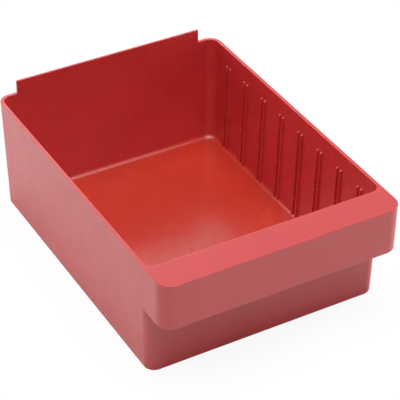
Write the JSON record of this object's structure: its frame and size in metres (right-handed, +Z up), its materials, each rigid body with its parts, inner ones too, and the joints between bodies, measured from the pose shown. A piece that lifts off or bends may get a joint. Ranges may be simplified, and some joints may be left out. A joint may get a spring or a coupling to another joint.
{
  "type": "drawer bin",
  "caption": "Open-topped drawer bin with a hollow hand-grip hood across its front, a low tab on its rear rim and upright divider ribs inside its side walls.",
  "frame": {"origin": "middle of the overall length and width, on the surface that the bin stands on", "axes": "+X to the right as seen from the front, -Y out of the front of the hood, +Z up"},
  "size_m": [0.2126, 0.2954, 0.1151],
  "materials": {
    "moulded_polystyrene": "smooth satin, as moulded"
  },
  "bodies": {
    "root": {"floor_panel": "moulded_polystyrene", "left_wall": "moulded_polystyrene", "right_wall": "moulded_polystyrene", "rear_wall": "moulded_polystyrene", "front_wall": "moulded_polystyrene", "rear_left_corner": "moulded_polystyrene", "rear_right_corner": "moulded_polystyrene", "front_left_corner": "moulded_polystyrene", "front_right_corner": "moulded_polystyrene", "rear_tab": "moulded_polystyrene", "hood_ledge": "moulded_polystyrene", "hood_front_skirt": "moulded_polystyrene", "hood_left_corner": "moulded_polystyrene", "hood_right_corner": "moulded_polystyrene", "hood_left_cheek": "moulded_polystyrene", "hood_right_cheek": "moulded_polystyrene", "divider_ribs_left_1": "moulded_polystyrene", "divider_ribs_left_2": "moulded_polystyrene", "divider_ribs_left_3": "moulded_polystyrene", "divider_ribs_left_4": "moulded_polystyrene", "divider_ribs_left_5": "moulded_polystyrene", "divider_ribs_left_6": "moulded_polystyrene", "divider_ribs_left_7": "moulded_polystyrene", "divider_ribs_left_8": "moulded_polystyrene", "divider_ribs_right_1": "moulded_polystyrene", "divider_ribs_right_2": "moulded_polystyrene", "divider_ribs_right_3": "moulded_polystyrene", "divider_ribs_right_4": "moulded_polystyrene", "divider_ribs_right_5": "moulded_polystyrene", "divider_ribs_right_6": "moulded_polystyrene", "divider_ribs_right_7": "moulded_polystyrene", "divider_ribs_right_8": "moulded_polystyrene"}
  },
  "joints": []
}
